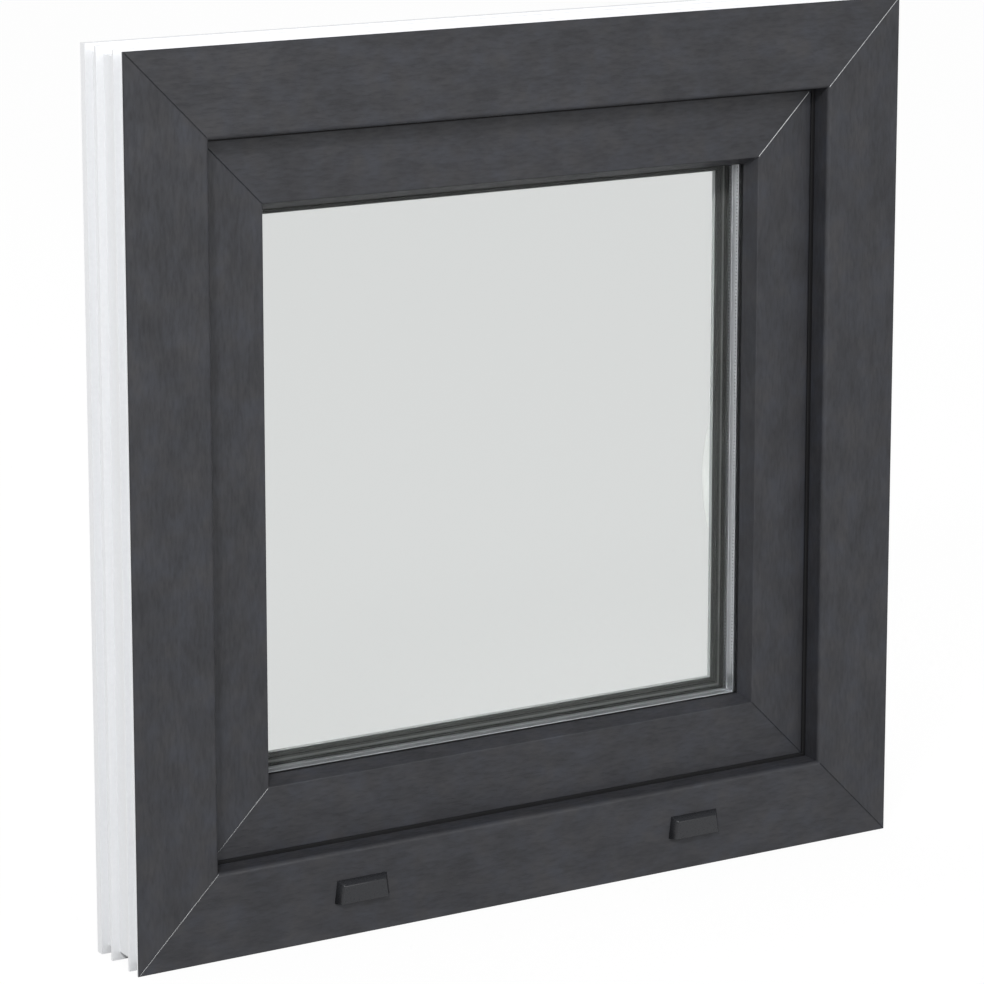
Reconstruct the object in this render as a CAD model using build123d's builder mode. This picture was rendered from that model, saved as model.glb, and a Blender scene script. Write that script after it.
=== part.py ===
from build123d import *
import os

# A square basement window with one inward-opening sash, seen in its frame from the outside.
# X runs along the window, +Y points into the room, +Z is up, in millimetres. The origin is
# at the bottom centre of the frame, on the middle one of the legs that stand on the sill.
#
# Profiles are drawn in two directions: "in", the distance from the frame's outer edge
# towards the glass, and "deep", the depth behind the frame's outer face.

# Overall size
WIDTH = 600.0
HEIGHT = 600.0
FRAME_DEPTH = 60.0

# Extruded walls, the radii of their edges and the groove along each welded mitre
WALL = 2.8
WEB = 2.0
EDGE = 1.0
SOFT_EDGE = 3.0
MITRE_GROOVE = 0.45

# Frame profile
FRAME_FACE = 59.5
REVEAL_SLOPE = 1.0
LIP_DEPTH = 15.0
FRAME_BODY = 40.0
GROOVE_DEPTH = 5.4
FRONT_LEG = 2.5
SECOND_LEG = (13.2, 15.0)
MIDDLE_LEG = (37.5, 39.7)
BACK_LEG = 7.0

# Gaskets: the gap that each one fills, how far it shows, and the foot that holds it
SEAL_GAP = 2.0
SEAL_REACH = 2.3
SEAL_TIP = 0.8
FOOT_NECK = 1.8
FOOT_HEAD = 3.4
FOOT_STEP = 1.3
FOOT_PLAY = 0.1
FRAME_FOOT_INSET = 6.5
LAP_FOOT_INSET = 6.0
GLAZING_FOOT_INSET = 6.0

# Sash profile
AIR_GAP = 12.0
SASH_FACE_WIDTH = 54.0
BEVEL_RISE = 5.5
BEVEL_DEPTH = 11.0
REBATE_HEIGHT = 19.5
LAP = 8.0
LAP_THICKNESS = 15.0
TRACK_WIDTH = 16.0
TRACK_STEP = 3.0
TRACK_LIP = 2.0
TRACK_DEPTH = 9.0
TRACK_BACK = 3.0
BEAD_SLOT_INSET = 6.5
BEAD_SLOT_WIDTH = 4.0
BEAD_SLOT_DEPTH = 4.0

# Glazing
GLASS_THICKNESS = 4.0
CAVITY = 12.0
GLASS_EDGE_GAP = 5.0
GLASS_SEAL = 2.0
GLASS_SEAL_REACH = 0.8
SPACER_HIDDEN = 0.5
SPACER_HEIGHT = 6.5
SPACER_WALL = 1.0
INNER_SEAL = 2.5

# Glazing beads
BEAD_RISE = 6.8
BEAD_INSET = 2.5
BEAD_FLAT = 4.0
BEAD_SHOULDER = 12.5
BEAD_WALL = 1.8

# Drain slots through the sill's front wall, and the caps over them
DRAIN_OFFSET = 133.5
DRAIN_SLOT = (28.0, 5.0)
DRAIN_SLOT_RISE = 6.0
CAP_BOTTOM = 24.0
CAP_BASE = (42.0, 38.0, 15.5)
CAP_FRONT = (35.0, 31.0, 12.5)
CAP_DEPTH = 5.0
CAP_WALL = 1.2
CAP_EDGE = 0.7

# Handle
HANDLE_IN = 67.0
HANDLE_HEIGHT = 300.0
ROSETTE_WIDTH = 30.0
ROSETTE_LENGTH = 70.0
ROSETTE_THICKNESS = 11.0
ROSETTE_TAPER = 4.0
NECK_RADIUS = 9.5
COLLAR_RADIUS = 12.0
COLLAR_HEIGHT = 2.0
LEVER_WIDTH = 22.0
LEVER_THICKNESS = 12.5
LEVER_ROUND = 5.25
LEVER_BEVEL = 2.5
LEVER_BOW_RADIUS = 101.0
LEVER_PROJECTION = 49.0
LEVER_MIDDLE = 53.0
LEVER_ABOVE = 8.0
LEVER_BELOW = 120.0

# Hinges
HINGE_AXIS_IN = 20.0
HINGE_RADIUS = 7.0
HINGE_FROM_EDGE = 45.0
BEARING_LENGTH = 38.0
PIVOT_LENGTH = 30.0
HINGE_PLATE = 3.0
HINGE_PLATE_WIDTH = 22.0
WING_REACH = 18.0
HINGE_PLAY = 0.3

# Places that follow from the sizes above, "in" and "deep"
OUTER_FACE = -(MIDDLE_LEG[0] + MIDDLE_LEG[1]) / 2
LIP_EDGE = FRAME_FACE + REVEAL_SLOPE
SASH_EDGE = FRAME_BODY + AIR_GAP
SASH_FACE_EDGE = SASH_EDGE + SASH_FACE_WIDTH
GLASS_SIGHT = SASH_FACE_EDGE + BEVEL_RISE
REBATE_FLOOR = GLASS_SIGHT - REBATE_HEIGHT
GLASS_EDGE = REBATE_FLOOR + GLASS_EDGE_GAP
BEAD_SIGHT = GLASS_SIGHT + BEAD_RISE
LAP_EDGE = FRAME_BODY - LAP
SASH_FACE = LIP_DEPTH + SEAL_GAP
LAP_FACE = FRAME_DEPTH + SEAL_GAP
SASH_BACK = LAP_FACE + LAP_THICKNESS
BEVEL_END = SASH_FACE + BEVEL_DEPTH
OUTER_PANE = BEVEL_END + GLASS_SEAL
CAVITY_FACE = OUTER_PANE + GLASS_THICKNESS
INNER_PANE = CAVITY_FACE + CAVITY
GLASS_BACK = INNER_PANE + GLASS_THICKNESS
BEAD_FACE = GLASS_BACK + INNER_SEAL
BEAD_BACK = SASH_BACK - BEAD_INSET
BEAD_SLOT = (BEAD_FACE + BEAD_SLOT_INSET, BEAD_FACE + BEAD_SLOT_INSET + BEAD_SLOT_WIDTH)
TRACK_START = LAP_FACE - TRACK_BACK - TRACK_WIDTH
FRAME_FOOT = LIP_EDGE - FRAME_FOOT_INSET
LAP_FOOT = LAP_EDGE + LAP_FOOT_INSET
GLAZING_FOOT = GLASS_SIGHT - GLAZING_FOOT_INSET

os.makedirs("parts", exist_ok=True)

# The four sides, clockwise as seen from outside: the corner where each starts, the way it
# runs, and the way from there into the opening, all as (X, Z)
SIDES = {
    "sill": ((WIDTH / 2, 0), (-1, 0), (0, 1)),
    "left": ((-WIDTH / 2, 0), (0, 1), (1, 0)),
    "head": ((-WIDTH / 2, HEIGHT), (1, 0), (0, -1)),
    "right": ((WIDTH / 2, HEIGHT), (0, -1), (-1, 0)),
}


def side_length(side):
    """Full outer length of one side of the frame."""
    return WIDTH if SIDES[side][1][0] else HEIGHT


def side_plane(side):
    """Plane across one side: its x is "in", its y is "deep", and its normal runs along the side."""
    (x, z), along, inward = SIDES[side]
    return Plane(
        origin=(x, OUTER_FACE, z),
        x_dir=(inward[0], 0, inward[1]),
        z_dir=(along[0], 0, along[1]),
    )


def mitres(side):
    """The outer corner at each end of one side, with the ways along and into the opening there."""
    (x, z), along, inward = SIDES[side]
    length = side_length(side)
    back = (-along[0], -along[1])
    return [
        ((x, z), along, inward),
        ((x + along[0] * length, z + along[1] * length), back, inward),
    ]


def weld_groove(corner, along, inward, start, stop):
    """A square bar, turned on its edge, that runs along a mitre between two (in, deep) points."""
    first, last = (
        Vector(
            corner[0] + u * (along[0] + inward[0]),
            OUTER_FACE + deep,
            corner[1] + u * (along[1] + inward[1]),
        )
        for u, deep in (start, stop)
    )
    across = (along[0] - inward[0], 0, along[1] - inward[1])
    with BuildPart() as bar:
        with BuildSketch(Plane(origin=first, x_dir=across, z_dir=last - first)):
            Rectangle(MITRE_GROOVE * 2**0.5, MITRE_GROOVE * 2**0.5, rotation=45)
        extrude(amount=(last - first).length)
    return bar.part


def pocket(u_low, u_high, d_low, d_high):
    """Take a rectangle, given by its limits, out of the section being drawn."""
    with Locations(((u_low + u_high) / 2, (d_low + d_high) / 2)):
        Rectangle(u_high - u_low, d_high - d_low, mode=Mode.SUBTRACT)


def profile(corners, pockets=()):
    """Closed section from corners (in, deep, radius), less pockets (in, in, deep, deep)."""
    with BuildSketch() as section:
        with BuildLine():
            FilletPolyline(
                *[(u, d) for u, d, r in corners],
                radius=[r for u, d, r in corners],
                close=True,
            )
        make_face()
        for limits in pockets:
            pocket(*limits)
    return section.sketch


def mitred_side(side, section, weld=()):
    """One side of a rectangle in a section, cut at 45 degrees at both ends.

    The points of weld, as (in, deep), mark the fine groove that runs down each welded mitre.
    """
    with BuildPart() as rail:
        with BuildSketch(side_plane(side)):
            add(section)
        extrude(amount=side_length(side))
        for (x, z), along, inward in mitres(side):
            across = (along[0] - inward[0], 0, along[1] - inward[1])
            split(bisect_by=Plane(origin=(x, 0, z), z_dir=across), keep=Keep.TOP)
            for start, stop in zip(weld, weld[1:]):
                add(weld_groove((x, z), along, inward, start, stop), mode=Mode.SUBTRACT)
    return rail.part


def closed_ring(section):
    """All four sides of a section in one piece, with mitred corners."""
    with BuildPart() as ring:
        for side in SIDES:
            add(mitred_side(side, section))
    return ring.part


def save(part, name):
    """Name a finished piece and write it out."""
    part.label = name
    export_step(part, f"parts/{name}.step")


def seal_groove(centre, face, towards):
    """The undercut groove for a gasket foot, cut from a face the way given by towards."""
    neck = FOOT_NECK / 2 + FOOT_PLAY
    head = FOOT_HEAD / 2 + FOOT_PLAY
    mouth = face - towards * EDGE
    step = face + towards * FOOT_STEP
    floor = step + towards * FOOT_STEP
    return [
        (centre - neck, centre + neck, *sorted((mouth, step))),
        (centre - head, centre + head, *sorted((step, floor))),
    ]


def seal_profile(low, high, front, back, foot, towards):
    """A flat gasket between two depths, with its foot on the side given by towards."""
    base = front if towards < 0 else back
    step = base + towards * (FOOT_STEP + FOOT_PLAY)
    tip = base + towards * (2 * FOOT_STEP - FOOT_PLAY)
    with BuildSketch() as section:
        with BuildLine():
            FilletPolyline(
                (low, front), (high, front), (high, back), (low, back),
                radius=[0, SEAL_TIP, SEAL_TIP, 0], close=True,
            )
        make_face()
        with Locations((foot, (base + tip) / 2)):
            Rectangle(FOOT_NECK, abs(tip - base))
        with Locations((foot, (step + tip) / 2)):
            Rectangle(FOOT_HEAD, abs(tip - step))
    return section.sketch


# Frame: a chambered profile with a deep outer lip and legs that stand on the wall
leg_end = FRAME_DEPTH - BACK_LEG
chamber_low = GROOVE_DEPTH + WALL
chamber_high = FRAME_BODY - WALL
front_chamber_end = LIP_DEPTH + EDGE
core_end = MIDDLE_LEG[1] + WEB
frame_corners = [
    (0, 0, EDGE),
    (FRAME_FACE, 0, SOFT_EDGE),
    (LIP_EDGE, LIP_DEPTH, EDGE / 2),
    (FRAME_BODY, LIP_DEPTH, 0),
    (FRAME_BODY, FRAME_DEPTH, EDGE),
    (0, FRAME_DEPTH, EDGE),
]
frame_pockets = [
    (-EDGE, GROOVE_DEPTH, FRONT_LEG, SECOND_LEG[0]),
    (-EDGE, GROOVE_DEPTH, SECOND_LEG[1], MIDDLE_LEG[0]),
    (-EDGE, GROOVE_DEPTH, MIDDLE_LEG[1], leg_end),
    (chamber_low, chamber_high, WALL, front_chamber_end),
    (chamber_high + WEB, FRAME_FACE - WALL, WALL, LIP_DEPTH - 2 * FOOT_STEP - WEB),
    (chamber_low, chamber_high, front_chamber_end + WEB, core_end),
    (chamber_low, chamber_high, core_end + WEB, FRAME_DEPTH - WALL),
]
frame_section = profile(frame_corners, frame_pockets + seal_groove(FRAME_FOOT, LIP_DEPTH, -1))
frame_weld = [(0, 0), (FRAME_FACE, 0)]

save(mitred_side("head", frame_section, frame_weld), "frame_head")
save(mitred_side("left", frame_section, frame_weld), "frame_left_jamb")
save(mitred_side("right", frame_section, frame_weld), "frame_right_jamb")

with BuildPart() as frame_sill:
    add(mitred_side("sill", frame_section, frame_weld))
    with BuildSketch(Plane(origin=(0, OUTER_FACE, 0), x_dir=(-1, 0, 0), z_dir=(0, 1, 0))):
        slot_z = CAP_BOTTOM + DRAIN_SLOT_RISE
        with Locations((-DRAIN_OFFSET, slot_z), (DRAIN_OFFSET, slot_z)):
            SlotOverall(*DRAIN_SLOT)
    extrude(amount=WALL + EDGE, mode=Mode.SUBTRACT)
save(frame_sill.part, "frame_sill")

frame_seal = seal_profile(
    FRAME_FOOT - FOOT_HEAD, LIP_EDGE + SEAL_REACH, LIP_DEPTH, SASH_FACE, FRAME_FOOT, -1
)
save(closed_ring(frame_seal), "frame_gasket")

# Sash: a chambered profile that stands clear of the frame and laps over its room side, with
# an undercut track for the lock gear and a slot that the beads clip into
track_floor = SASH_EDGE + TRACK_DEPTH
track_end = TRACK_START + TRACK_WIDTH
lap_groove_end = LAP_FACE + 2 * FOOT_STEP
front_end = BEVEL_END + SOFT_EDGE
core_start = front_end + WEB
sash_core_end = BEAD_SLOT[0] - WEB
room_start = max(BEAD_SLOT[1], LAP_FACE) + WEB
floor_wall = REBATE_FLOOR - WALL
slot_floor = REBATE_FLOOR - BEAD_SLOT_DEPTH
sash_corners = [
    (SASH_EDGE, SASH_FACE, EDGE),
    (SASH_FACE_EDGE, SASH_FACE, EDGE),
    (GLASS_SIGHT, BEVEL_END, EDGE / 2),
    (REBATE_FLOOR, BEVEL_END, 0),
    (REBATE_FLOOR, SASH_BACK, EDGE),
    (LAP_EDGE, SASH_BACK, SOFT_EDGE),
    (LAP_EDGE, LAP_FACE, EDGE),
    (SASH_EDGE, LAP_FACE, 0),
]
sash_pockets = [
    (SASH_EDGE + WALL, floor_wall, SASH_FACE + WALL, front_end),
    (floor_wall + WEB, SASH_FACE_EDGE - EDGE, SASH_FACE + WALL, BEVEL_END - 2 * FOOT_STEP - WEB),
    (SASH_EDGE + WALL, track_floor, core_start, TRACK_START - WALL),
    (track_floor + WALL, floor_wall, core_start, sash_core_end),
    (track_floor + WALL, slot_floor - WEB, BEAD_SLOT[0], BEAD_SLOT[1]),
    (SASH_EDGE + WEB, floor_wall, room_start, SASH_BACK - WALL),
    (LAP_EDGE + WALL, SASH_EDGE, lap_groove_end + WEB, SASH_BACK - WALL),
    (SASH_EDGE - EDGE, SASH_EDGE + TRACK_STEP, TRACK_START, track_end),
    (SASH_EDGE, track_floor, TRACK_START + TRACK_LIP, track_end - TRACK_LIP),
    (slot_floor, REBATE_FLOOR + EDGE, *BEAD_SLOT),
]
sash_grooves = seal_groove(GLAZING_FOOT, BEVEL_END, -1) + seal_groove(LAP_FOOT, LAP_FACE, 1)
sash_section = profile(sash_corners, sash_pockets + sash_grooves)
sash_weld = [(SASH_EDGE, SASH_FACE), (SASH_FACE_EDGE, SASH_FACE)]

save(mitred_side("head", sash_section, sash_weld), "sash_top_rail")
save(mitred_side("sill", sash_section, sash_weld), "sash_bottom_rail")
save(mitred_side("left", sash_section, sash_weld), "sash_left_stile")
save(mitred_side("right", sash_section, sash_weld), "sash_right_stile")

lap_seal = seal_profile(
    LAP_FOOT - FOOT_HEAD, FRAME_BODY - EDGE, FRAME_DEPTH, LAP_FACE, LAP_FOOT, 1
)
save(closed_ring(lap_seal), "sash_gasket")

# Glazing: two panes on an aluminium spacer, between a gasket on the sash and one on the beads


def glass_pane(front):
    """One pane whose outer face is at a depth."""
    with BuildPart() as pane:
        plane = Plane(origin=(0, OUTER_FACE + front, HEIGHT / 2), x_dir=(-1, 0, 0), z_dir=(0, 1, 0))
        with BuildSketch(plane):
            Rectangle(WIDTH - 2 * GLASS_EDGE, HEIGHT - 2 * GLASS_EDGE)
        extrude(amount=GLASS_THICKNESS)
    return pane.part


save(glass_pane(OUTER_PANE), "outer_pane")
save(glass_pane(INNER_PANE), "inner_pane")

spacer_high = GLASS_SIGHT - SPACER_HIDDEN
spacer_low = spacer_high - SPACER_HEIGHT
spacer_corners = [
    (spacer_low, CAVITY_FACE, EDGE),
    (spacer_high, CAVITY_FACE, 0),
    (spacer_high, INNER_PANE, 0),
    (spacer_low, INNER_PANE, EDGE),
]
spacer_core = [
    (spacer_low + SPACER_WALL, spacer_high - SPACER_WALL,
     CAVITY_FACE + SPACER_WALL, INNER_PANE - SPACER_WALL),
]
save(closed_ring(profile(spacer_corners, spacer_core)), "spacer_bar")

glazing_seal = seal_profile(
    GLAZING_FOOT - FOOT_HEAD, GLASS_SIGHT + GLASS_SEAL_REACH, BEVEL_END, OUTER_PANE, GLAZING_FOOT, -1
)
save(closed_ring(glazing_seal), "outer_glazing_gasket")

bead_seal_low = GLASS_EDGE + GLASS_EDGE_GAP
bead_seal_corners = [
    (bead_seal_low, GLASS_BACK, 0),
    (BEAD_SIGHT, GLASS_BACK, SEAL_TIP),
    (BEAD_SIGHT, BEAD_FACE, 0),
    (bead_seal_low, BEAD_FACE, 0),
]
save(closed_ring(profile(bead_seal_corners)), "inner_glazing_gasket")

# Beads: hollow bevelled strips that clip into the sash and press the inner gasket on the glass
clip_low = slot_floor + FOOT_PLAY
clip_start = BEAD_SLOT[0] + FOOT_PLAY
clip_end = BEAD_SLOT[1] - FOOT_PLAY
bead_corners = [
    (REBATE_FLOOR, BEAD_FACE, 0),
    (BEAD_SIGHT, BEAD_FACE, 0),
    (BEAD_SIGHT, BEAD_FACE + BEAD_FLAT, SOFT_EDGE),
    (BEAD_SIGHT - BEAD_SHOULDER, BEAD_BACK, SOFT_EDGE),
    (REBATE_FLOOR, BEAD_BACK, 0),
    (REBATE_FLOOR, clip_end, 0),
    (clip_low, clip_end, 0),
    (clip_low, clip_start, 0),
    (REBATE_FLOOR, clip_start, 0),
]
bead_floor = REBATE_FLOOR + BEAD_WALL
bead_chamber = [
    (bead_floor, BEAD_FACE + BEAD_WALL, 0),
    (BEAD_SIGHT - BEAD_WALL, BEAD_FACE + BEAD_WALL, 0),
    (BEAD_SIGHT - BEAD_WALL, BEAD_FACE + BEAD_FLAT, 0),
    (BEAD_SIGHT - BEAD_SHOULDER - BEAD_WALL, BEAD_BACK - BEAD_WALL, 0),
    (bead_floor, BEAD_BACK - BEAD_WALL, 0),
]
bead_section = profile(bead_corners) - profile(bead_chamber)

save(mitred_side("head", bead_section), "top_bead")
save(mitred_side("sill", bead_section), "bottom_bead")
save(mitred_side("left", bead_section), "left_bead")
save(mitred_side("right", bead_section), "right_bead")

# Drain caps: tapered hoods over the sill's drain slots, open at the bottom


def cap_outline(depth, sizes):
    """Upright trapezoid of a drain cap at a depth: sizes are its bottom, top and height."""
    bottom, top, height = sizes
    plane = Plane(origin=(0, OUTER_FACE + depth, CAP_BOTTOM), x_dir=(1, 0, 0), z_dir=(0, -1, 0))
    with BuildSketch(plane) as face:
        with BuildLine():
            Polyline(
                (-bottom / 2, 0), (bottom / 2, 0), (top / 2, height), (-top / 2, height),
                close=True,
            )
        make_face()
    return face.sketch


def drain_cap(x):
    """A hood that narrows outwards and upwards, a shell that is open below and at its back."""
    with BuildPart() as cap:
        add(cap_outline(0, CAP_BASE))
        add(cap_outline(-CAP_DEPTH, CAP_FRONT))
        loft()
        back = cap.faces().sort_by(Axis.Y)[-1]
        below = cap.faces().sort_by(Axis.Z)[0]
        offset(amount=-CAP_WALL, openings=[back, below])
        front_edges = cap.faces().sort_by(Axis.Y)[0].edges().sort_by(Axis.Z)[1:]
        chamfer(front_edges, length=CAP_EDGE)
    return cap.part.moved(Location((x, 0, 0)))


save(drain_cap(-DRAIN_OFFSET), "drain_cap_left")
save(drain_cap(DRAIN_OFFSET), "drain_cap_right")

# Handle: a rounded base plate on the right stile and a bowed lever that points down
handle_x = WIDTH / 2 - HANDLE_IN
sash_back_y = OUTER_FACE + SASH_BACK
rosette_plane = Plane(origin=(handle_x, sash_back_y, HANDLE_HEIGHT), x_dir=(-1, 0, 0), z_dir=(0, 1, 0))

with BuildPart() as handle_rosette:
    with BuildSketch(rosette_plane):
        RectangleRounded(ROSETTE_WIDTH, ROSETTE_LENGTH, ROSETTE_WIDTH / 2 - EDGE)
    extrude(amount=ROSETTE_THICKNESS - COLLAR_HEIGHT, taper=ROSETTE_TAPER)
    chamfer(handle_rosette.faces().sort_by(Axis.Y)[-1].edges(), length=EDGE)
    with BuildSketch(rosette_plane.offset(ROSETTE_THICKNESS - COLLAR_HEIGHT)):
        Circle(COLLAR_RADIUS)
    extrude(amount=COLLAR_HEIGHT)
save(handle_rosette.part, "handle_rosette")

bow_radius = LEVER_BOW_RADIUS - LEVER_THICKNESS / 2
bow_y = sash_back_y + LEVER_PROJECTION - LEVER_BOW_RADIUS
bow_z = HANDLE_HEIGHT - LEVER_MIDDLE


def bow_point(z):
    """Point of the lever's centre line at a height."""
    return (handle_x, bow_y + (bow_radius**2 - (z - bow_z) ** 2) ** 0.5, z)


with BuildPart() as handle_lever:
    with BuildLine() as bow:
        ThreePointArc(
            bow_point(HANDLE_HEIGHT + LEVER_ABOVE),
            bow_point(bow_z),
            bow_point(HANDLE_HEIGHT - LEVER_BELOW),
        )
    with BuildSketch(Plane(origin=bow.line @ 0, x_dir=(-1, 0, 0), z_dir=bow.line % 0)):
        with BuildLine():
            FilletPolyline(
                (-LEVER_WIDTH / 2, LEVER_THICKNESS / 2),
                (LEVER_WIDTH / 2, LEVER_THICKNESS / 2),
                (LEVER_WIDTH / 2, LEVER_BEVEL - LEVER_THICKNESS / 2),
                (LEVER_WIDTH / 2 - LEVER_BEVEL, -LEVER_THICKNESS / 2),
                (LEVER_BEVEL - LEVER_WIDTH / 2, -LEVER_THICKNESS / 2),
                (-LEVER_WIDTH / 2, LEVER_BEVEL - LEVER_THICKNESS / 2),
                radius=[LEVER_ROUND, LEVER_ROUND, 0, 0, 0, 0], close=True,
            )
        make_face()
    sweep(path=bow.line)
    for end in (0, -1):
        chamfer(handle_lever.faces().sort_by(Axis.Z)[end].edges(), length=EDGE)
    with BuildSketch(rosette_plane.offset(ROSETTE_THICKNESS)):
        Circle(NECK_RADIUS)
    extrude(amount=bow_point(HANDLE_HEIGHT)[1] - sash_back_y - ROSETTE_THICKNESS)
save(handle_lever.part, "handle_lever")

# Hinges: two knuckles on one upright pin at each end of the left side
hinge_x = -WIDTH / 2 + HINGE_AXIS_IN
frame_back_y = OUTER_FACE + FRAME_DEPTH
hinge_y = frame_back_y + HINGE_PLATE + HINGE_RADIUS
wing_y = sash_back_y - hinge_y
wing_reach = LAP_EDGE + WING_REACH - HINGE_AXIS_IN


def hinge_bearing(z):
    """Lower knuckle and the plate that screws it to the frame."""
    with BuildPart() as bearing:
        with BuildSketch(Plane(origin=(hinge_x, hinge_y, z))):
            Circle(HINGE_RADIUS)
            with Locations((0, -HINGE_RADIUS / 2)):
                Rectangle(2 * HINGE_RADIUS, HINGE_RADIUS)
            with Locations((0, -HINGE_RADIUS - HINGE_PLATE / 2)):
                Rectangle(HINGE_PLATE_WIDTH, HINGE_PLATE)
        extrude(amount=BEARING_LENGTH)
        round_edges = bearing.edges().filter_by(GeomType.CIRCLE).sort_by(Axis.Z)
        chamfer(round_edges[0], length=EDGE)
    return bearing.part


def hinge_pivot(z):
    """Upper knuckle and the wing that lies on the sash."""
    with BuildPart() as pivot:
        with BuildSketch(Plane(origin=(hinge_x, hinge_y, z))):
            Circle(HINGE_RADIUS)
            with Locations((0, (wing_y + HINGE_PLATE) / 2)):
                Rectangle(2 * HINGE_RADIUS, wing_y + HINGE_PLATE)
            with Locations((wing_reach / 2, wing_y + HINGE_PLATE / 2)):
                Rectangle(wing_reach, HINGE_PLATE)
        extrude(amount=PIVOT_LENGTH)
        upright = pivot.edges().filter_by(Axis.Z).filter_by(lambda e: e.center().Y > sash_back_y + EDGE)
        fillet(upright, radius=EDGE)
    return pivot.part


lower_z = HINGE_FROM_EDGE
upper_z = HEIGHT - HINGE_FROM_EDGE - BEARING_LENGTH - HINGE_PLAY - PIVOT_LENGTH
for place, z in (("lower", lower_z), ("upper", upper_z)):
    save(hinge_bearing(z), f"{place}_hinge_bearing")
    save(hinge_pivot(z + BEARING_LENGTH + HINGE_PLAY), f"{place}_hinge_pivot")
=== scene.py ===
"""Looks of the basement window: its finishes, its finer pieces and the studio round it.

Every length is in metres, in the frame of the CAD model: X runs to the right as seen from outside,
+Y points into the room and Z is up. "Deep" means behind the frame's outer face.
"""

import logging
import math
from dataclasses import dataclass
from enum import Enum
from typing import NamedTuple

import bmesh
import bpy
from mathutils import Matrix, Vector

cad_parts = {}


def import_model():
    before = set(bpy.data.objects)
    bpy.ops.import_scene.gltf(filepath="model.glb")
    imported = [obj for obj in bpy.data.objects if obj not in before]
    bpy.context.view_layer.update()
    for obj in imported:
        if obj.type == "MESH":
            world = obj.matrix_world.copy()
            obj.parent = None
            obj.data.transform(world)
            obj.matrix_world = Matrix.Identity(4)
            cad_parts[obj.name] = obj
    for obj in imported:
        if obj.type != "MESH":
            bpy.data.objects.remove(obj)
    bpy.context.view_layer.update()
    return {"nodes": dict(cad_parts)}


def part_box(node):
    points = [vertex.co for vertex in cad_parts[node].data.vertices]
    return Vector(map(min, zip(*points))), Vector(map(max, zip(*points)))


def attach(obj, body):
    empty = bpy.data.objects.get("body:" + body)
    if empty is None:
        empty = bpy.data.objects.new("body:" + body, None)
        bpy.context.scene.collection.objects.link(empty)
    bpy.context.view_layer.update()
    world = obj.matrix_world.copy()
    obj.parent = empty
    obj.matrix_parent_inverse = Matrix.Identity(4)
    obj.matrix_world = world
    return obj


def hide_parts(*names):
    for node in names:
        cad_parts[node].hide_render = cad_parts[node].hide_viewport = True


LOG = logging.getLogger("basement_window")
SHARP_ANGLE = 38.0

Colour = tuple[float, float, float, float]
Point = tuple[float, float, float]
Pair = tuple[float, float]
Section = list[Pair]
Solid = tuple[list[Point], list[tuple[int, ...]]]
Socket = bpy.types.NodeSocket
Feed = Socket | float | Colour | Point

FULL_SPAN: Pair = (0.0, 1.0)
NOISE_SPAN: Pair = (0.3, 0.7)
QUARTER_TURNS = ((0.0, 1, 1), (90.0, -1, 1), (180.0, -1, -1), (270.0, 1, -1))


class Grain(Enum):
    """The way that the grain of a member's foil runs."""

    LEVEL = "level"
    UPRIGHT = "upright"


class HighlightMitre(Enum):
    """A mitre whose light bead paints the highlight of its groove: its side along X, its end along
    Z and the bead's width.
    """

    TOP = (1, 1, 0.00050)
    BOTTOM = (-1, -1, 0.00022)


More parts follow.
